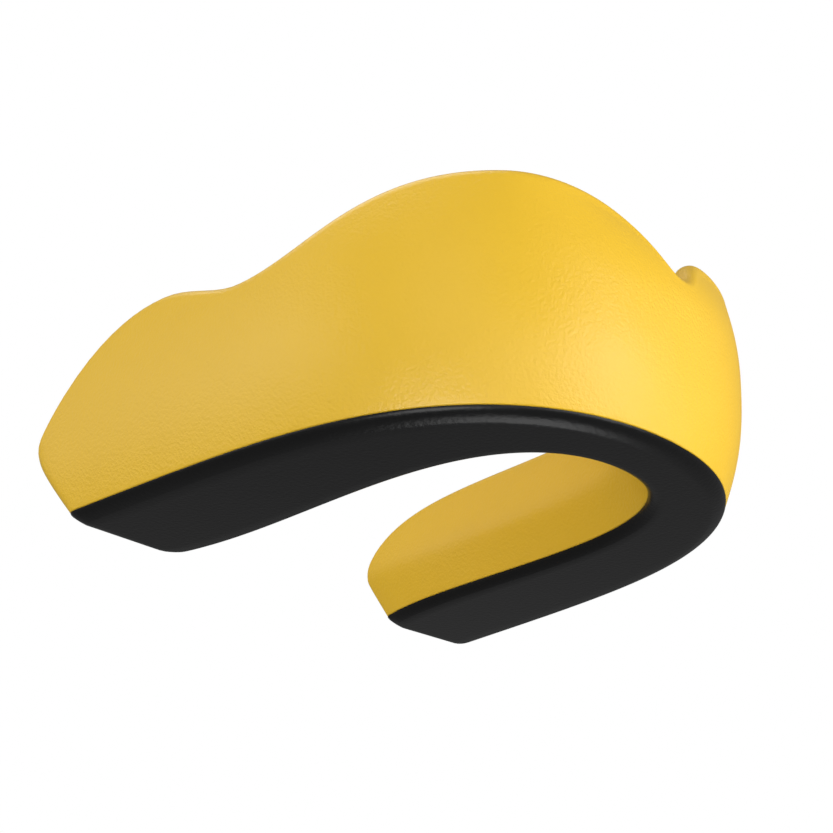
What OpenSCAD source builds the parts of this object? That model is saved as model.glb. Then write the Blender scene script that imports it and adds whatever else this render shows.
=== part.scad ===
// Sports mouthguard: a U-shaped rubber tray in three layers. Sizes are in millimetres.
// X runs across the mouth, the front faces -Y, Z is up and the underside of the base lies on Z = 0.
// Every layer is drawn from cross-sections at stations along the arch, from -1 at the left rear end
// through 0 at the front to 1 at the right rear end. In a cross-section s runs from the inner edge
// of the base to its outer edge, and z is the height.

/* [Arch] */

// width of the base over its outer edges at the rear ends
arch_width = 60; // [54:1:66]
// depth of the base from its front edge to its rear ends
arch_depth = 54.5; // [50:0.5:60]
// width of the base's band at the front
front_band = 6.5; // [6:0.1:8]
// width of the base's band at each rear end
rear_band = 13.8; // [12:0.2:15]

/* [Base] */

// thickness of the base
base_thick = 1.1; // [0.9:0.1:1.6]
// width of the rounded bevel along the base's outer lower edge
outer_bevel = 1.6; // [1:0.1:2.4]
// width of the rounded bevel along the base's inner lower edge
inner_bevel = 1; // [0.6:0.1:1.8]
// length of the rounding at the base's rear lower edges
rear_round = 2.2; // [1.6:0.1:4]
// width of the rib that keys the base into the shell
key_width = 2; // [1.4:0.1:2.4]
// height of the rib above the base
key_height = 1.2; // [0.6:0.1:1.4]

/* [Shell heights] */

// height of the lip-side wall at the notch for the frenum
notch_height = 18.2; // [17:0.1:20]
// height that the lip-side wall would have at the front without the notch
front_height = 25.5; // [23:0.1:27]
// height of the lip-side wall at the lobe over the front teeth
lobe_height = 25; // [23:0.2:27]
// height of the lip-side wall at the dip behind the lobe
dip_height = 17.8; // [17:0.1:20]
// height of the lip-side wall at the hump over the back teeth
hump_height = 20.4; // [19:0.1:23]
// rise of the lip-side wall over the channel's floor at its rear end
lip_end_rise = 5.3; // [3:0.1:7]
// height of the tongue-side wall around the front
tongue_height = 13.3; // [12:0.1:16]
// rise of the tongue-side wall over the channel's floor at its rear end
tongue_end_rise = 2.1; // [1.6:0.1:3]

/* [Shell walls] */

// thickness of the lip-side wall with the liner
lip_wall = 2.6; // [2.4:0.1:3]
// thickness of the tongue-side wall with the liner
tongue_wall = 2.2; // [2:0.1:2.6]
// thickness of the channel's floor with the liner
floor_thick = 4; // [3.6:0.1:4.6]
// thickness of the channel's floor with the liner at its rear ends
floor_end_thick = 2.4; // [2.2:0.1:3.4]
// how far the shell reaches back over the base on the lip side
lip_overhang = 4.2; // [3:0.2:6]
// how far the shell reaches back over the base on the tongue side
tongue_overhang = 2.5; // [2:0.1:4]

/* [Liner] */

// thickness of the fitting liner
liner_thick = 0.8; // [0.6:0.1:1.2]

/* [Hidden] */

// curves of the base's edges in plan: handles and shoulders, as shares of the sizes they follow
outer_front_handle = 0.365*arch_width;
outer_shoulder = [0.447*arch_width, 0.362*arch_depth];
outer_rear_handle = 0.572*arch_depth;
outer_splay = 4.8;
inner_width = arch_width - 2*rear_band;
inner_depth = arch_depth - front_band;
inner_front_handle = 0.371*inner_width;
inner_shoulder = [0.551*inner_width, 0.215*inner_depth];
inner_rear_handle = 0.319*inner_depth;
inner_splay = 20;
// corners in plan at the seam, and on the underside
seam_corner = 1.6;
outer_sole_corner = 2.5;
inner_sole_corner = 5;
rear_round_share = 0.99;
// the bevels turn by this angle from upright at the seam, and meet the flat in an edge
bevel_turn = 55;

// the lip-side wall swells outward up to this height over the seam
lip_swell_height = 5.5;
lip_swell_slope = 0.5;
lip_softness = 5.8;
// higher up it curls in toward the gum, most of all at the front
curl_start = 14;
curl_length = 10;
lip_curl = 0.66;
front_curl = 2.75;
front_curl_end = 0.25;
// the tongue-side wall has a tighter bend, over which it leans back
tongue_swell_height = 4.9;
tongue_swell_slope = 0.435;
tongue_lean_slope = 0.166;
tongue_softness = 1.07;
// the rear ends of the shell lean back up to this height over the seam, and their rims are rounded off
rear_swell_height = 6.2;
rear_softness = 1.26;
rear_start = 0.6;
rim_end_round = 1;
// share of that rounding on the tongue-side rim and on the floor, which are low there
low_end_share = 0.4;

// stations of the rim's high and low points, and shape of the notch between the lobes
lobe_at = 0.025;
dip_at = 0.716;
hump_at = 0.837;
notch_reach = 0.031;
notch_softness = 0.031;

corner_fillet = 2;
// the ledges over the liner's upper edges slope by this share
ledge_slope = 0.4;
// the rib has sloping sides, starts to sink at one station and is level with the base at the next
key_draft = 0.4;
key_full = 0.8;
key_end = 0.9;

half_stations = 28;
end_stations = 5;
end_share = max(rear_round, inner_sole_corner)/(4*outer_rear_handle);

// curves

function mix(a, b, x) = a + (b - a)*x;
function clamp01(x) = min(max(x, 0), 1);
function ease(x) = pow(clamp01(x), 2)*(3 - 2*clamp01(x));
function quarter(x) = 1 - sqrt(1 - pow(clamp01(x), 2));
function bezier(p, t) = let (u = 1 - t)
    p[0]*pow(u, 4) + 4*p[1]*pow(u, 3)*t + 6*p[2]*u*u*t*t + 4*p[3]*u*pow(t, 3) + p[4]*pow(t, 4);

// A line that rises with one slope up to the given height and leans back with another, rounded between the two.
function hyperbola(x, rise, lean, soft) = (rise - lean)/2*x - (rise + lean)/2*sqrt(x*x + soft*soft);
function bend(z, height, rise, lean, soft) =
    hyperbola(z - height, rise, lean, soft) - hyperbola(-height, rise, lean, soft);

function outer_edge(t) = bezier([
    [0, 0],
    [outer_front_handle, 0],
    outer_shoulder,
    [arch_width/2 - outer_rear_handle*sin(outer_splay), arch_depth - outer_rear_handle*cos(outer_splay)],
    [arch_width/2, arch_depth]], t);
function inner_edge(t) = bezier([
    [0, front_band],
    [inner_front_handle, front_band],
    [inner_shoulder.x, front_band + inner_shoulder.y],
    [inner_width/2 - inner_rear_handle*sin(inner_splay), arch_depth - inner_rear_handle*cos(inner_splay)],
    [inner_width/2, arch_depth]], t);
function band_width(t) = norm(outer_edge(abs(t)) - inner_edge(abs(t)));

// The last stations are narrower, which rounds the corners in plan; the base's underside rises in them,
// and the rims and the floor sink.
function to_rear(t) = arch_depth - outer_edge(abs(t)).y;
function corner(t, radius) = radius*quarter(1 - to_rear(t)/radius);
function sole_rise(t) = 0.9*base_thick
    *quarter(rear_round_share*clamp01(1 - to_rear(t)/rear_round))/quarter(rear_round_share);
function rim_drop(t) = corner(t, rim_end_round);

// heights of the floor and of the two rims at a station

function floor_height(t) = base_thick + mix(floor_thick, floor_end_thick, ease((abs(t) - hump_at)/(1 - hump_at)))
    - low_end_share*rim_drop(t);
lip_end_height = base_thick + floor_end_thick + lip_end_rise;
tongue_end_height = base_thick + floor_end_thick + tongue_end_rise;

function notch_cut(a) = (front_height - notch_height)
    *exp((notch_softness - sqrt(a*a + notch_softness*notch_softness))/notch_reach);
function lip_height(t) = let (a = abs(t)) (
    a < lobe_at ? mix(lobe_height, front_height, pow(1 - a/lobe_at, 1.5)) :
    a < dip_at ? mix(lobe_height, dip_height, ease(pow((a - lobe_at)/(dip_at - lobe_at), 2.24))) :
    a < hump_at ? mix(dip_height, hump_height, ease((a - dip_at)/(hump_at - dip_at))) :
    mix(hump_height, lip_end_height, pow((a - hump_at)/(1 - hump_at), 2.3)))
    - notch_cut(a) - rim_drop(t);
function tongue_rim_height(t) =
    mix(tongue_height, tongue_end_height, pow(abs(t), 11.2)) - low_end_share*rim_drop(t);

// faces of the walls: how far they stand out from the edges of the base

function lip_swell(t, z) =
    bend(z - base_thick, lip_swell_height, lip_swell_slope, 0, lip_softness)
    - (lip_curl + front_curl*(1 - ease(abs(t)/front_curl_end)))*pow(max(z - curl_start, 0)/curl_length, 2);
function tongue_swell(z) =
    bend(z - base_thick, tongue_swell_height, tongue_swell_slope, tongue_lean_slope, tongue_softness);

// how far a point of the shell moves back from its station
function rear_shift(t, share, z) = let (reach = mix(tongue_overhang, lip_overhang, share))
    z < base_thick ? 0 : ease((abs(t) - rear_start)/(1 - rear_start))
        *bend(z - base_thick, rear_swell_height, reach/rear_swell_height, 0, rear_softness);

// the frame's origin lies under the middle of the whole shape
front_reach = max([for (z = [base_thick : 0.5 : notch_height - lip_wall/2]) lip_swell(0, z)]);
rear_reach = rear_shift(1, 1, lip_end_height - rim_end_round - lip_wall/2);
middle_y = (arch_depth + rear_reach - front_reach)/2;

// point in space for a place in the cross-section of a station
function place(t, s, z) = let (
    inner = inner_edge(abs(t)),
    outer = outer_edge(abs(t)),
    width = norm(outer - inner),
    spot = inner + (outer - inner)*s/width,
    x = t < 0 ? -spot.x : spot.x)
    [x, spot.y + rear_shift(t, clamp01(s/width), z) - middle_y, z];

half_list = concat(
    [for (k = [0 : half_stations]) (1 - end_share)*pow(k/half_stations, 1.4)],
    [for (k = [1 : end_stations]) 1 - end_share*(1 - sin(90*k/end_stations))]);
stations = concat(
    [for (k = [len(half_list) - 1 : -1 : 1]) -half_list[k]],
    half_list);

// paths in the cross-section, each from the tongue side to the lip side

rim_steps = 2;
fillet_steps = 3;
tongue_steps = 4;
lip_steps = 7;
floor_steps = 5;

function arc(centre, radius, from, to, steps) =
    [for (k = [0 : steps]) let (angle = mix(from, to, k/steps)) centre + radius*[cos(angle), sin(angle)]];
function column(z_from, z_to, steps) = [for (k = [1 : steps]) mix(z_from, z_to, k/steps)];

// the face between shell and base, without its two edges: flat, with the rib along its middle
function seam_path(t) = let (
    middle = band_width(t)/2,
    crest = base_thick + key_height*(1 - ease((abs(t) - key_full)/(key_end - key_full))))
    [
        [middle - key_width/2 - key_draft, base_thick],
        [middle - key_width/2, crest],
        [middle + key_width/2, crest],
        [middle + key_width/2 + key_draft, base_thick]
    ];

// the outside of the shell: over the tongue-side rim, down, across the seam and up to the lip-side rim
function skin_path(t) = let (
    inset = corner(t, seam_corner),
    width = band_width(t),
    r_in = tongue_wall/2,
    r_out = lip_wall/2,
    z_in = tongue_rim_height(t) - r_in,
    z_out = lip_height(t) - r_out,
    tongue = [for (z = column(z_in, base_thick, tongue_steps + fillet_steps + 1)) [inset - tongue_swell(z), z]],
    lip = [for (z = column(base_thick, z_out, lip_steps + fillet_steps + 1)) [width - inset + lip_swell(t, z), z]])
    concat(
        arc([inset - tongue_swell(z_in) + r_in, z_in], r_in, 105, 180, rim_steps),
        tongue,
        seam_path(t),
        [[width - inset, base_thick]],
        lip,
        [for (k = [1 : rim_steps])
            [width - inset + lip_swell(t, z_out) - r_out, z_out] + r_out*[cos(75*k/rim_steps), sin(75*k/rim_steps)]]);

// the tooth channel, cut the given depth into the walls and the floor: down the tongue-side wall, over the floor
// and up the lip-side wall
function channel_path(t, depth) = let (
    inset = corner(t, seam_corner),
    z_in = tongue_rim_height(t) - tongue_wall/2 - ledge_slope*depth,
    z_out = lip_height(t) - lip_wall/2 - ledge_slope*depth,
    bottom = floor_height(t) - depth,
    fillet_in = min(corner_fillet, 0.8*(z_in - bottom)),
    fillet_out = min(corner_fillet, 0.8*(z_out - bottom)),
    near = inset + tongue_wall - depth,
    far = band_width(t) - inset - lip_wall + depth,
    s_in = near - tongue_swell(bottom + fillet_in),
    s_out = far + lip_swell(t, bottom + fillet_out))
    concat(
        [[near - tongue_swell(z_in), z_in]],
        [for (z = column(z_in, bottom + fillet_in, tongue_steps)) [near - tongue_swell(z), z]],
        [for (k = [1 : fillet_steps]) let (angle = 180 + 90*k/fillet_steps)
            [s_in + fillet_in, bottom + fillet_in] + fillet_in*[cos(angle), sin(angle)]],
        [for (k = [1 : floor_steps]) [mix(s_in + fillet_in, s_out - fillet_out, k/floor_steps), bottom]],
        [for (k = [1 : fillet_steps]) let (angle = 270 + 90*k/fillet_steps)
            [s_out - fillet_out, bottom + fillet_out] + fillet_out*[cos(angle), sin(angle)]],
        [for (z = column(bottom + fillet_out, z_out, lip_steps)) [far + lip_swell(t, z), z]]);

// the channel's side of the shell: the inner quarter of each rim, and the seat for the liner between them
function shell_channel_path(t) = let (
    r_in = tongue_wall/2,
    r_out = lip_wall/2,
    seat = channel_path(t, liner_thick),
    liner = channel_path(t, 0),
    first = liner[0],
    last = liner[len(liner) - 1])
    concat(
        [for (k = [rim_steps : -1 : 1]) first + [-r_in, 0] + r_in*[cos(75*k/rim_steps), sin(75*k/rim_steps)]],
        [first],
        seat,
        [last],
        [for (k = [1 : rim_steps]) last + [r_out, 0] + r_out*[-cos(75*k/rim_steps), sin(75*k/rim_steps)]]);

// the underside of the base with a rounded bevel on each side; its corners in plan are rounder than the seam's
round_steps = 5;
flat_steps = 3;
function bevel_in(angle) = (1 - cos(angle))/(1 - cos(bevel_turn));
function bevel_down(angle) = sin(angle)/sin(bevel_turn);
function sole_path(t) = let (
    inset = corner(t, seam_corner),
    width = band_width(t),
    low = sole_rise(t),
    inner = inner_bevel + corner(t, inner_sole_corner) - inset,
    outer = outer_bevel + corner(t, outer_sole_corner) - inset)
    concat(
        [for (k = [0 : round_steps]) let (angle = bevel_turn*k/round_steps)
            [inset + inner*bevel_in(angle), mix(base_thick, low, bevel_down(angle))]],
        [for (k = [1 : flat_steps - 1])
            [mix(inset + inner, width - inset - outer, k/flat_steps), low]],
        [for (k = [round_steps : -1 : 0]) let (angle = bevel_turn*k/round_steps)
            [width - inset - outer*bevel_in(angle), mix(base_thick, low, bevel_down(angle))]]);

// solids

// A solid between a lower and an upper path that run along the same stations.
module layer(at, lower, upper) {
    n = len(lower[0]);
    m = len(upper[0]);
    ring = n + m;
    rows = len(at);
    points = [for (j = [0 : rows - 1]) each concat(
        [for (k = [0 : n - 1]) place(at[j], lower[j][k].x, lower[j][k].y)],
        [for (k = [m - 1 : -1 : 0]) place(at[j], upper[j][k].x, upper[j][k].y)])];
    // the fields of both paths are split along the same diagonal, so layers that share a path lie face to face
    sides = [for (j = [0 : rows - 2], k = [0 : ring - 1]) let (
        a = j*ring + k,
        b = j*ring + (k + 1)%ring,
        c = a + ring,
        d = b + ring)
        each k < n || k == ring - 1 ? [[a, b, d], [a, d, c]] : [[a, b, c], [b, d, c]]];
    // each end is a strip of triangles: one on every edge of the lower path and one on every edge of the upper path
    strip = concat(
        [for (k = [0 : n - 2]) let (over = ceil((k + 0.5)*(m - 1)/(n - 1) - 0.5)) [k, ring - 1 - over, k + 1]],
        [for (k = [0 : m - 2]) let (under = floor((k + 0.5)*(n - 1)/(m - 1) - 0.5) + 1)
            [under, ring - 1 - k, ring - 2 - k]]);
    last = (rows - 1)*ring;
    far_strip = [for (f = strip) [last + f[0], last + f[2], last + f[1]]];
    polyhedron(points = points, faces = concat(sides, strip, far_strip), convexity = 8);
}

module outer_shell() {
    color([0.93, 0.72, 0.22])
    layer(stations, [for (t = stations) skin_path(t)], [for (t = stations) shell_channel_path(t)]);
}

module bite_base() {
    color([0.14, 0.14, 0.14])
    layer(stations, [for (t = stations) sole_path(t)], [for (t = stations) seam_path(t)]);
}

module fitting_liner() {
    color([0.95, 0.8, 0.42])
    layer(stations,
        [for (t = stations) channel_path(t, liner_thick)],
        [for (t = stations) channel_path(t, 0)]);
}

outer_shell();
bite_base();
fitting_liner();
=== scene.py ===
import math

import bmesh
import bpy
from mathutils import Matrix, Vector


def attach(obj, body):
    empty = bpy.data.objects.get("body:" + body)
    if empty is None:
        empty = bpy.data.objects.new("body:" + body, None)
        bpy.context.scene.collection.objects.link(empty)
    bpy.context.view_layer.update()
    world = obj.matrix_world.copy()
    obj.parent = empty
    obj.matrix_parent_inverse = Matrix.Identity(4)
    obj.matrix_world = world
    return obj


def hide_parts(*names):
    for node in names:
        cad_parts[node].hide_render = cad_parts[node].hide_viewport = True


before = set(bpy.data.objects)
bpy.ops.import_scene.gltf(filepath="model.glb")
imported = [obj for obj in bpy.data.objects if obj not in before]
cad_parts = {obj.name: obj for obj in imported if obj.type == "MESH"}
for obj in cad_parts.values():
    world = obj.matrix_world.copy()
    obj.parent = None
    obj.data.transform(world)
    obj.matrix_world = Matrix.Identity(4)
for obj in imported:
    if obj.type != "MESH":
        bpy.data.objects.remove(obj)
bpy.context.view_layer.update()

MM = 0.001

# Shape: plan of the base

ARCH_WIDTH = 60.0
ARCH_DEPTH = 54.5
FRONT_BAND = 6.5
REAR_BAND = 13.8
OUTER_FRONT_HANDLE = 0.365 * ARCH_WIDTH
OUTER_SHOULDER = Vector((0.447 * ARCH_WIDTH, 0.362 * ARCH_DEPTH))
OUTER_REAR_HANDLE = 0.572 * ARCH_DEPTH
OUTER_SPLAY = math.radians(4.8)
INNER_WIDTH = ARCH_WIDTH - 2 * REAR_BAND
INNER_DEPTH = ARCH_DEPTH - FRONT_BAND
INNER_FRONT_HANDLE = 0.371 * INNER_WIDTH
INNER_SHOULDER = Vector((0.551 * INNER_WIDTH, FRONT_BAND + 0.215 * INNER_DEPTH))
INNER_REAR_HANDLE = 0.319 * INNER_DEPTH
INNER_SPLAY = math.radians(20)
SEAM_CORNER = 1.6
OUTER_SOLE_CORNER = 2.5
INNER_SOLE_CORNER = 5.0

# Shape: base, with bevels that start upright at the seam and meet the flat in an edge

BASE_THICK = 1.1
OUTER_BEVEL = 1.6
INNER_BEVEL = 1.0
BEVEL_TURN = math.radians(55)
REAR_ROUND = 2.2
REAR_ROUND_SHARE = 0.99
SOLE_RISE = 0.9 * BASE_THICK
SEAM_ROUND = 0.12
BASE_TOP_INSET = 0.5

# Shape: heights of the walls and of the floor

NOTCH_HEIGHT = 18.2
FRONT_HEIGHT = 25.5
LOBE_HEIGHT = 25.0
DIP_HEIGHT = 17.8
HUMP_HEIGHT = 20.4
LIP_END_RISE = 5.3
TONGUE_HEIGHT = 13.3
TONGUE_END_RISE = 2.1
FLOOR_THICK = 4.0
FLOOR_END_THICK = 2.4
LIP_END_HEIGHT = BASE_THICK + FLOOR_END_THICK + LIP_END_RISE
TONGUE_END_HEIGHT = BASE_THICK + FLOOR_END_THICK + TONGUE_END_RISE
RIM_END_ROUND = 1.0
LOW_END_SHARE = 0.4

# Shape: stations of the rims' high and low points, and powers that bend the stretches between them

LOBE_AT = 0.025
DIP_AT = 0.716
HUMP_AT = 0.837
NOTCH_REACH = 0.031
NOTCH_SOFTNESS = 0.031
FRONT_POWER = 1.5
LOBE_POWER = 2.24
LIP_END_POWER = 2.3
TONGUE_END_POWER = 11.2

# Shape: faces of the walls, which swell outward from the seam and curl in higher up

LIP_WALL = 2.6
LIP_SWELL_HEIGHT = 5.5
LIP_SWELL_SLOPE = 0.5
LIP_SOFTNESS = 5.8
LIP_CURL = 0.66
FRONT_CURL = 2.75
FRONT_CURL_END = 0.25
CURL_START = 14.0
CURL_LENGTH = 10.0
TONGUE_WALL = 2.2
TONGUE_SWELL_HEIGHT = 4.9
TONGUE_SWELL_SLOPE = 0.435
TONGUE_LEAN_SLOPE = 0.166
TONGUE_SOFTNESS = 1.07
LIP_OVERHANG = 4.2
TONGUE_OVERHANG = 2.5
REAR_SWELL_HEIGHT = 6.2
REAR_SOFTNESS = 1.26
REAR_START = 0.6

# Shape: tooth channel and liner

CORNER_FILLET = 2.0
FILLET_SHARE = 0.8
LINER_THICK = 0.8
LEDGE_SLOPE = 0.4
LINER_EDGE = 0.2


def mix(a, b, x):
    return a + (b - a) * x


def clamp01(x):
    return min(max(x, 0.0), 1.0)


def ease(x):
    """A step from 0 to 1 that starts and ends gently."""
    x = clamp01(x)
    return x * x * (3 - 2 * x)


def quarter(x):
    """A rise from 0 to 1 along a quarter of a circle."""
    return 1 - math.sqrt(1 - clamp01(x) ** 2)


def bezier(p0, p1, p2, p3, p4, t):
    u = 1 - t
    return u**4 * p0 + 4 * u**3 * t * p1 + 6 * u * u * t * t * p2 + 4 * u * t**3 * p3 + t**4 * p4


def bend(z, height, rise, lean, soft):
    """Offset that rises with one slope up to a height and leans back with another, rounded between them."""

    def hyperbola(x):
        return (rise - lean) / 2 * x - (rise + lean) / 2 * math.hypot(x, soft)

    return hyperbola(z - height) - hyperbola(-height)


def outer_edge(t):
    front = Vector((0, 0))
    rear = Vector((ARCH_WIDTH / 2, ARCH_DEPTH))
    front_handle = Vector((OUTER_FRONT_HANDLE, 0))
    rear_handle = rear - OUTER_REAR_HANDLE * Vector((math.sin(OUTER_SPLAY), math.cos(OUTER_SPLAY)))
    return bezier(front, front_handle, OUTER_SHOULDER, rear_handle, rear, t)


def inner_edge(t):
    front = Vector((0, FRONT_BAND))
    rear = Vector((INNER_WIDTH / 2, ARCH_DEPTH))
    front_handle = Vector((INNER_FRONT_HANDLE, FRONT_BAND))
    rear_handle = rear - INNER_REAR_HANDLE * Vector((math.sin(INNER_SPLAY), math.cos(INNER_SPLAY)))
    return bezier(front, front_handle, INNER_SHOULDER, rear_handle, rear, t)


def band_width(t):
    return (outer_edge(abs(t)) - inner_edge(abs(t))).length


def to_rear(t):
    return ARCH_DEPTH - outer_edge(abs(t)).y


def corner(t, radius):
    """How far an edge draws in near the rear end, which rounds the corner."""
    return radius * quarter(1 - to_rear(t) / radius)


def sole_rise(t):
    """How far the underside rises near the rear end."""
    share = quarter(REAR_ROUND_SHARE * clamp01(1 - to_rear(t) / REAR_ROUND)) / quarter(REAR_ROUND_SHARE)
    return SOLE_RISE * share


def rim_drop(t):
    return corner(t, RIM_END_ROUND)


def floor_height(t):
    thick = mix(FLOOR_THICK, FLOOR_END_THICK, ease((abs(t) - HUMP_AT) / (1 - HUMP_AT)))
    return BASE_THICK + thick - LOW_END_SHARE * rim_drop(t)


def notch_cut(a):
    depth = FRONT_HEIGHT - NOTCH_HEIGHT
    return depth * math.exp((NOTCH_SOFTNESS - math.hypot(a, NOTCH_SOFTNESS)) / NOTCH_REACH)


def lip_height(t):
    a = abs(t)
    if a < LOBE_AT:
        height = mix(LOBE_HEIGHT, FRONT_HEIGHT, (1 - a / LOBE_AT) ** FRONT_POWER)
    elif a < DIP_AT:
        height = mix(LOBE_HEIGHT, DIP_HEIGHT, ease(((a - LOBE_AT) / (DIP_AT - LOBE_AT)) ** LOBE_POWER))
    elif a < HUMP_AT:
        height = mix(DIP_HEIGHT, HUMP_HEIGHT, ease((a - DIP_AT) / (HUMP_AT - DIP_AT)))
    else:
        height = mix(HUMP_HEIGHT, LIP_END_HEIGHT, ((a - HUMP_AT) / (1 - HUMP_AT)) ** LIP_END_POWER)
    return height - notch_cut(a) - rim_drop(t)


def tongue_rim_height(t):
    height = mix(TONGUE_HEIGHT, TONGUE_END_HEIGHT, abs(t) ** TONGUE_END_POWER)
    return height - LOW_END_SHARE * rim_drop(t)


def lip_swell(t, z):
    """How far the lip-side wall stands out from the outer edge of the base."""
    swell = bend(z - BASE_THICK, LIP_SWELL_HEIGHT, LIP_SWELL_SLOPE, 0, LIP_SOFTNESS)
    curl = LIP_CURL + FRONT_CURL * (1 - ease(abs(t) / FRONT_CURL_END))
    return swell - curl * (max(z - CURL_START, 0) / CURL_LENGTH) ** 2


def tongue_swell(z):
    """How far the tongue-side wall stands out from the inner edge of the base."""
    return bend(z - BASE_THICK, TONGUE_SWELL_HEIGHT, TONGUE_SWELL_SLOPE, TONGUE_LEAN_SLOPE, TONGUE_SOFTNESS)


def rear_shift(t, share, z):
    """How far a point of the shell moves back from its station."""
    if z < BASE_THICK:
        return 0.0
    slope = mix(TONGUE_OVERHANG, LIP_OVERHANG, share) / REAR_SWELL_HEIGHT
    strength = ease((abs(t) - REAR_START) / (1 - REAR_START))
    return strength * bend(z - BASE_THICK, REAR_SWELL_HEIGHT, slope, 0, REAR_SOFTNESS)


# The frame's origin lies under the middle of the whole shape

REACH_STEP = 0.5
REACH_STEPS = int((NOTCH_HEIGHT - LIP_WALL / 2 - BASE_THICK) / REACH_STEP)
FRONT_REACH = max(lip_swell(0, BASE_THICK + REACH_STEP * k) for k in range(REACH_STEPS + 1))
REAR_REACH = rear_shift(1, 1, LIP_END_HEIGHT - RIM_END_ROUND - LIP_WALL / 2)
MIDDLE_Y = (ARCH_DEPTH + REAR_REACH - FRONT_REACH) / 2


def place(t, s, z):
    """Point in metres for a place in the cross-section of a station."""
    inner = inner_edge(abs(t))
    outer = outer_edge(abs(t))
    share = s / (outer - inner).length
    spot = inner + (outer - inner) * share
    x = -spot.x if t < 0 else spot.x
    y = spot.y + rear_shift(t, clamp01(share), z) - MIDDLE_Y
    return Vector((x, y, z)) * MM


# Stations, closer together at the notch and around the rear ends

HALF_STATIONS = 84
STATION_POWER = 1.25
END_STATIONS = 12
END_SHARE = max(REAR_ROUND, INNER_SOLE_CORNER) / (4 * OUTER_REAR_HANDLE)
half_list = [(1 - END_SHARE) * (k / HALF_STATIONS) ** STATION_POWER for k in range(HALF_STATIONS + 1)]
for k in range(1, END_STATIONS + 1):
    half_list.append(1 - END_SHARE * (1 - math.sin(math.pi / 2 * k / END_STATIONS)))
STATIONS = [-t for t in reversed(half_list[1:])] + half_list

# Cross-sections: paths from the tongue side to the lip side
# The two sides of a rim stop a few degrees short of its crest, where the mesh joins them

RIM_GAP = 5
RIM_STEPS = 8
SEAM_STEPS = 4
TONGUE_STEPS = 18
LIP_STEPS = 30
FILLET_STEPS = 6
FLOOR_STEPS = 8
ROUND_STEPS = 16


def spread(a, b, steps):
    return [mix(a, b, k / steps) for k in range(steps + 1)]


def turn(centre, radius, first, last, steps):
    """Points of an arc between two angles in degrees."""
    angles = [math.radians(a) for a in spread(first, last, steps)]
    return [(centre[0] + radius * math.cos(a), centre[1] + radius * math.sin(a)) for a in angles]


def seam_pull(z):
    """How far the faces draw back at the seam, which leaves a fine groove there."""
    return SEAM_ROUND * quarter(1 - abs(z - BASE_THICK) / SEAM_ROUND)


def skin_path(t):
    """Outside of the shell: down from the tongue-side rim, across the seam and up to the lip-side rim."""
    inset = corner(t, SEAM_CORNER)
    width = band_width(t)
    r_in = TONGUE_WALL / 2
    r_out = LIP_WALL / 2
    z_in = tongue_rim_height(t) - r_in
    z_out = lip_height(t) - r_out
    seam = [BASE_THICK + SEAM_ROUND * k / SEAM_STEPS for k in range(SEAM_STEPS)]
    tongue_zs = spread(z_in, BASE_THICK + SEAM_ROUND, TONGUE_STEPS)[1:] + seam[::-1]
    lip_zs = seam + spread(BASE_THICK + SEAM_ROUND, z_out, LIP_STEPS)
    across = spread(inset + SEAM_ROUND, width - inset - SEAM_ROUND, FLOOR_STEPS)[1:-1]
    path = turn((inset - tongue_swell(z_in) + r_in, z_in), r_in, 90 + RIM_GAP, 180, RIM_STEPS)
    path += [(inset - tongue_swell(z) + seam_pull(z), z) for z in tongue_zs]
    path += [(s, BASE_THICK) for s in across]
    path += [(width - inset + lip_swell(t, z) - seam_pull(z), z) for z in lip_zs]
    path += turn((width - inset + lip_swell(t, z_out) - r_out, z_out), r_out, 0, 90 - RIM_GAP, RIM_STEPS)[1:]
    return path


def channel_path(t, depth):
    """Tooth channel, cut the given depth into the walls and the floor."""
    inset = corner(t, SEAM_CORNER)
    z_in = tongue_rim_height(t) - TONGUE_WALL / 2 - LEDGE_SLOPE * depth
    z_out = lip_height(t) - LIP_WALL / 2 - LEDGE_SLOPE * depth
    bottom = floor_height(t) - depth
    fillet_in = min(CORNER_FILLET, FILLET_SHARE * (z_in - bottom))
    fillet_out = min(CORNER_FILLET, FILLET_SHARE * (z_out - bottom))
    near = inset + TONGUE_WALL - depth
    far = band_width(t) - inset - LIP_WALL + depth
    s_in = near - tongue_swell(bottom + fillet_in) + fillet_in
    s_out = far + lip_swell(t, bottom + fillet_out) - fillet_out
    path = [(near - tongue_swell(z), z) for z in spread(z_in, bottom + fillet_in, TONGUE_STEPS)]
    path += turn((s_in, bottom + fillet_in), fillet_in, 180, 270, FILLET_STEPS)[1:]
    path += [(s, bottom) for s in spread(s_in, s_out, FLOOR_STEPS)[1:]]
    path += turn((s_out, bottom + fillet_out), fillet_out, 270, 360, FILLET_STEPS)[1:]
    path += [(far + lip_swell(t, z), z) for z in spread(bottom + fillet_out, z_out, LIP_STEPS)[1:]]
    return path


def shell_channel_path(t):
    """Channel side of the shell: the inner side of each rim and the seat for the liner between them."""
    liner = channel_path(t, 0)
    first = liner[0]
    last = liner[-1]
    r_in = TONGUE_WALL / 2
    r_out = LIP_WALL / 2
    path = turn((first[0] - r_in, first[1]), r_in, 90 - RIM_GAP, 0, RIM_STEPS)
    path += channel_path(t, LINER_THICK)
    path += turn((last[0] + r_out, last[1]), r_out, 180, 90 + RIM_GAP, RIM_STEPS)
    return path


def liner_seat_path(t):
    return channel_path(t, LINER_THICK)


def liner_path(t):
    """Tooth side of the liner, a little rounded at its two upper edges."""
    path = channel_path(t, 0)
    first_z = path[0][1]
    last_z = path[-1][1]
    rounded = []
    for k, (s, z) in enumerate(path):
        if k <= TONGUE_STEPS:
            s -= LINER_EDGE * quarter(1 - (first_z - z) / LINER_EDGE)
        elif k >= len(path) - LIP_STEPS:
            s += LINER_EDGE * quarter(1 - (last_z - z) / LINER_EDGE)
        rounded.append((s, z))
    return rounded


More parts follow.
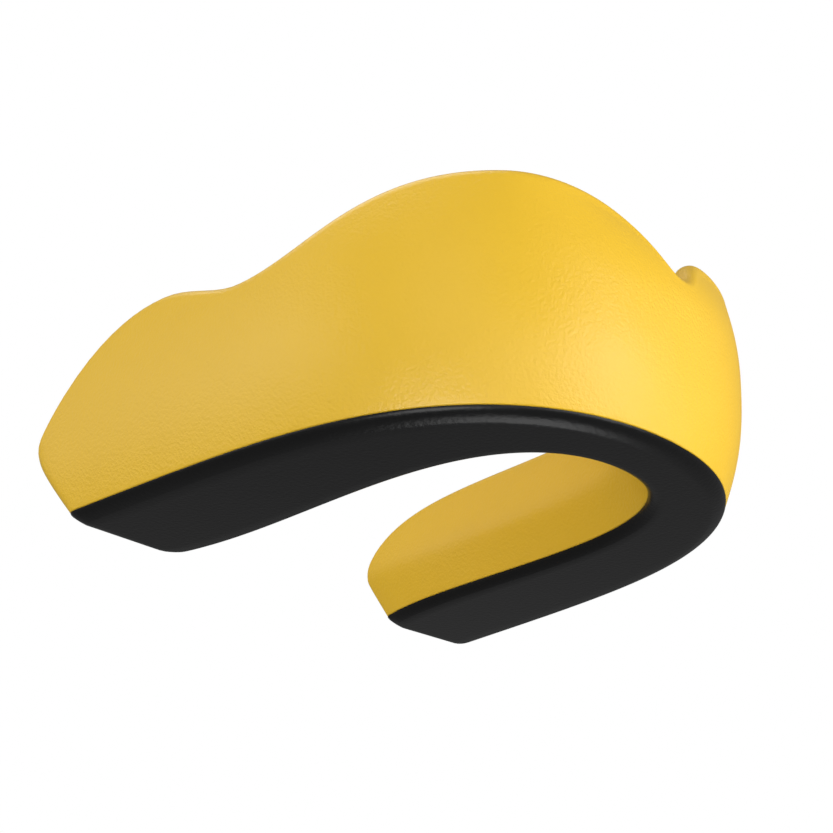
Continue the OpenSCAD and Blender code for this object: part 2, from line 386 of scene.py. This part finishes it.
def sole_path(t):
    """Underside of the base, from the inner seam round to the outer one."""
    inset = corner(t, SEAM_CORNER)
    width = band_width(t)
    low = sole_rise(t)
    inner_bevel = INNER_BEVEL + corner(t, INNER_SOLE_CORNER) - inset
    outer_bevel = OUTER_BEVEL + corner(t, OUTER_SOLE_CORNER) - inset
    angles = [BEVEL_TURN * k / ROUND_STEPS for k in range(ROUND_STEPS + 1)]
    heights = [mix(BASE_THICK, low, math.sin(a) / math.sin(BEVEL_TURN)) for a in angles]
    inward = [(1 - math.cos(a)) / (1 - math.cos(BEVEL_TURN)) for a in angles]
    inner = [(inset + inner_bevel * share, z) for share, z in zip(inward, heights)]
    outer = [(width - inset - outer_bevel * share, z) for share, z in zip(inward, heights)]
    flat = [(s, low) for s in spread(inner[-1][0], outer[-1][0], FLOOR_STEPS)[1:-1]]
    path = inner + flat + outer[::-1]
    path[0] = (inset + SEAM_ROUND, BASE_THICK)
    path[-1] = (width - inset - SEAM_ROUND, BASE_THICK)
    return path


def base_top_path(t):
    inset = corner(t, SEAM_CORNER) + BASE_TOP_INSET
    return [(s, BASE_THICK) for s in spread(inset, band_width(t) - inset, FLOOR_STEPS)]


def strip(lower, upper):
    """Triangles between two rows of vertices of any length."""
    faces = []
    i = 0
    j = 0
    while i < len(lower) - 1 or j < len(upper) - 1:
        step_low = j == len(upper) - 1 or (
            i < len(lower) - 1 and (i + 0.5) / (len(lower) - 1) <= (j + 0.5) / (len(upper) - 1)
        )
        if step_low:
            faces.append((lower[i], upper[j], lower[i + 1]))
            i += 1
        else:
            faces.append((lower[i], upper[j], upper[j + 1]))
            j += 1
    return faces


SHARP_ANGLE = math.radians(50)


def layer(name, lower_path, upper_path, material, node):
    """A closed solid between two paths along the stations, which stands for a CAD node."""
    mesh = bpy.data.meshes.new(name)
    bm = bmesh.new()
    rows = []
    for t in STATIONS:
        lower = [bm.verts.new(place(t, s, z)) for s, z in lower_path(t)]
        upper = [bm.verts.new(place(t, s, z)) for s, z in upper_path(t)]
        rows.append((lower, upper))
    for (low_a, up_a), (low_b, up_b) in zip(rows, rows[1:]):
        ring_a = low_a + up_a[::-1]
        ring_b = low_b + up_b[::-1]
        for k in range(len(ring_a)):
            n = (k + 1) % len(ring_a)
            bm.faces.new((ring_a[k], ring_b[k], ring_b[n], ring_a[n]))
    for face in strip(*rows[0]) + strip(*rows[-1]):
        bm.faces.new(face)
    bmesh.ops.recalc_face_normals(bm, faces=bm.faces)
    bm.to_mesh(mesh)
    bm.free()
    for polygon in mesh.polygons:
        polygon.use_smooth = True
    mesh.set_sharp_from_angle(angle=SHARP_ANGLE)
    piece = bpy.data.objects.new(name, mesh)
    bpy.context.scene.collection.objects.link(piece)
    mesh.materials.append(material)
    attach(piece, "root")
    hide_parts(node)
    return piece


# Materials

MOTTLE_SCALE = 220
MOTTLE_DETAIL = 3
GRAIN_DETAIL = 2
GRAIN_ROUGHNESS = 0.55
GRAIN_DEPTH = 0.1


def rubber(name, colour, shade, roughness, specular, grain, grain_size):
    """Rubber with a fine leathery grain and a faint mottle between a colour and a shade of it."""
    material = bpy.data.materials.new(name)
    material.use_nodes = True
    nodes = material.node_tree.nodes
    links = material.node_tree.links
    shader = nodes["Principled BSDF"]
    shader.inputs["Roughness"].default_value = roughness
    shader.inputs["Specular IOR Level"].default_value = specular
    place_node = nodes.new("ShaderNodeTexCoord")
    mottle = nodes.new("ShaderNodeTexNoise")
    mottle.inputs["Scale"].default_value = MOTTLE_SCALE
    mottle.inputs["Detail"].default_value = MOTTLE_DETAIL
    links.new(place_node.outputs["Object"], mottle.inputs["Vector"])
    blend = nodes.new("ShaderNodeMix")
    blend.data_type = "RGBA"
    blend.inputs["A"].default_value = (*colour, 1)
    blend.inputs["B"].default_value = (*shade, 1)
    links.new(mottle.outputs["Fac"], blend.inputs["Factor"])
    links.new(blend.outputs["Result"], shader.inputs["Base Color"])
    cells = nodes.new("ShaderNodeTexNoise")
    cells.inputs["Scale"].default_value = 1 / (grain_size * MM)
    cells.inputs["Detail"].default_value = GRAIN_DETAIL
    cells.inputs["Roughness"].default_value = GRAIN_ROUGHNESS
    links.new(place_node.outputs["Object"], cells.inputs["Vector"])
    bump = nodes.new("ShaderNodeBump")
    bump.inputs["Strength"].default_value = grain
    bump.inputs["Distance"].default_value = GRAIN_DEPTH * MM
    links.new(cells.outputs["Fac"], bump.inputs["Height"])
    links.new(bump.outputs["Normal"], shader.inputs["Normal"])
    return material


yellow = rubber(
    "yellow_rubber",
    colour=(0.815, 0.503, 0.028),
    shade=(0.795, 0.487, 0.025),
    roughness=0.33,
    specular=0.55,
    grain=0.55,
    grain_size=0.34,
)
black = rubber(
    "black_rubber",
    colour=(0.0058, 0.0058, 0.0060),
    shade=(0.0048, 0.0048, 0.0050),
    roughness=0.30,
    specular=0.3,
    grain=0.3,
    grain_size=0.45,
)
soft_yellow = rubber(
    "liner_rubber",
    colour=(0.80, 0.51, 0.085),
    shade=(0.77, 0.48, 0.075),
    roughness=0.4,
    specular=0.4,
    grain=0.05,
    grain_size=0.6,
)

layer("shell", skin_path, shell_channel_path, yellow, "outer_shell")
layer("base", sole_path, base_top_path, black, "bite_base")
layer("liner", liner_seat_path, liner_path, soft_yellow, "fitting_liner")

# Floor: pale around the object, white farther away, and clear from below

FLOOR_HALF = 1.5
FLOOR_DROP = 0.05 * MM
FLOOR_COLOUR = (0.9, 0.9, 0.89, 1)
FLOOR_ROUGHNESS = 0.8
FADE_START = 0.04
FADE_END = 0.3
NEAR_WHITE = 0.3


def make_floor():
    """A floor that takes the object's shadow and holds back no light from the lamps below it."""
    mesh = bpy.data.meshes.new("floor")
    half = FLOOR_HALF
    corners = [(-half, -half, 0), (half, -half, 0), (half, half, 0), (-half, half, 0)]
    mesh.from_pydata(corners, [], [(0, 1, 2, 3)])
    floor = bpy.data.objects.new("floor", mesh)
    floor.location.z = -FLOOR_DROP
    bpy.context.scene.collection.objects.link(floor)
    material = bpy.data.materials.new("pale_floor")
    material.use_nodes = True
    nodes = material.node_tree.nodes
    links = material.node_tree.links
    shader = nodes["Principled BSDF"]
    shader.inputs["Base Color"].default_value = FLOOR_COLOUR
    shader.inputs["Roughness"].default_value = FLOOR_ROUGHNESS
    white = nodes.new("ShaderNodeEmission")
    clear = nodes.new("ShaderNodeBsdfTransparent")
    surface = nodes.new("ShaderNodeNewGeometry")
    away = nodes.new("ShaderNodeVectorMath")
    away.operation = "LENGTH"
    links.new(surface.outputs["Position"], away.inputs[0])
    fade = nodes.new("ShaderNodeMapRange")
    fade.interpolation_type = "SMOOTHSTEP"
    fade.inputs["From Min"].default_value = FADE_START
    fade.inputs["From Max"].default_value = FADE_END
    fade.inputs["To Min"].default_value = NEAR_WHITE
    fade.inputs["To Max"].default_value = 1
    links.new(away.outputs["Value"], fade.inputs["Value"])
    pale = nodes.new("ShaderNodeMixShader")
    links.new(fade.outputs["Result"], pale.inputs["Fac"])
    links.new(shader.outputs["BSDF"], pale.inputs[1])
    links.new(white.outputs["Emission"], pale.inputs[2])
    choose = nodes.new("ShaderNodeMixShader")
    links.new(surface.outputs["Backfacing"], choose.inputs["Fac"])
    links.new(pale.outputs["Shader"], choose.inputs[1])
    links.new(clear.outputs["BSDF"], choose.inputs[2])
    links.new(choose.outputs["Shader"], nodes["Material Output"].inputs["Surface"])
    mesh.materials.append(material)
    floor.visible_shadow = False
    floor.visible_diffuse = False
    floor.visible_glossy = False


make_floor()

# Light: a white surround for the camera, a grey one for the object, and soft lamps

AMBIENT = 0.16
LAMP_DISTANCE = 0.6
LAMP_AIM = Vector((0, 0, 0.01))


def make_world(ambient):
    world = bpy.data.worlds.new("studio")
    world.use_nodes = True
    bpy.context.scene.world = world
    nodes = world.node_tree.nodes
    links = world.node_tree.links
    seen = nodes["Background"]
    seen.inputs["Color"].default_value = (1, 1, 1, 1)
    seen.inputs["Strength"].default_value = 1
    surround = nodes.new("ShaderNodeBackground")
    surround.inputs["Color"].default_value = (1, 1, 1, 1)
    surround.inputs["Strength"].default_value = ambient
    path = nodes.new("ShaderNodeLightPath")
    choose = nodes.new("ShaderNodeMixShader")
    links.new(path.outputs["Is Camera Ray"], choose.inputs["Fac"])
    links.new(surround.outputs["Background"], choose.inputs[1])
    links.new(seen.outputs["Background"], choose.inputs[2])
    links.new(choose.outputs["Shader"], nodes["World Output"].inputs["Surface"])


def soft_lamp(name, direction, half_angle, power, highlight=True):
    """A round soft box toward the given direction, with its half angle in degrees and its power in watts."""
    light = bpy.data.lights.new(name, "AREA")
    light.shape = "DISK"
    light.size = 2 * LAMP_DISTANCE * math.tan(math.radians(half_angle))
    light.energy = power
    lamp = bpy.data.objects.new(name, light)
    away = Vector(direction).normalized()
    lamp.location = LAMP_AIM + away * LAMP_DISTANCE
    lamp.rotation_euler = away.to_track_quat("Z", "Y").to_euler()
    lamp.visible_glossy = highlight
    bpy.context.scene.collection.objects.link(lamp)


make_world(AMBIENT)
soft_lamp("front", (0.16, -1.0, -0.04), 20, 1.25)
soft_lamp("front_high", (0.1, -0.95, 0.3), 18, 0.25)
soft_lamp("front_right", (0.6, -0.75, -0.3), 18, 1.65, highlight=False)
soft_lamp("front_left", (-0.42, -0.89, -0.15), 18, 0.42)
soft_lamp("right", (0.75, -0.62, 0.25), 20, 1.5, highlight=False)
soft_lamp("left_front", (-0.8, -0.55, 0.25), 18, 0.27)
soft_lamp("left_low", (-0.74, -0.36, -0.57), 18, 1.5)
soft_lamp("left", (-0.92, 0.3, 0.15), 20, 0.58)
soft_lamp("rear_left", (-0.6, 0.7, 0.35), 20, 0.9, highlight=False)
soft_lamp("top", (-0.3, 0.15, 0.94), 25, 1.6)
soft_lamp("under", (0.38, 0.15, -0.91), 14, 0.6)

# Camera, as the photo was taken: its focal length is in pixels of the photo, and it aims at a point on the
# plane of the base's underside, shifted across and up in the picture

PHOTO_SIDE = 833
LENS_PIXELS = 1385.5
SENSOR_WIDTH = 36
CLIP_START = 10
CLIP_END = 10000
AZIMUTH = math.radians(-45.796)
ELEVATION = math.radians(-26.734)
DISTANCE = 145.165
ACROSS = -2.502
UP = 12.86
AIM_Y = 29.843 - MIDDLE_Y


def make_camera():
    back = Vector((
        math.sin(AZIMUTH) * math.cos(ELEVATION),
        -math.cos(AZIMUTH) * math.cos(ELEVATION),
        math.sin(ELEVATION),
    ))
    turned = back.to_track_quat("Z", "Y")
    data = bpy.data.cameras.new("camera")
    data.sensor_width = SENSOR_WIDTH
    data.lens = SENSOR_WIDTH * LENS_PIXELS / PHOTO_SIDE
    data.clip_start = CLIP_START * MM
    data.clip_end = CLIP_END * MM
    camera = bpy.data.objects.new("camera", data)
    camera.location = (Vector((0, AIM_Y, 0)) + back * DISTANCE + turned @ Vector((ACROSS, UP, 0))) * MM
    camera.rotation_mode = "QUATERNION"
    camera.rotation_quaternion = turned
    bpy.context.scene.collection.objects.link(camera)
    bpy.context.scene.camera = camera


make_camera()
bpy.context.scene.view_settings.view_transform = "Standard"
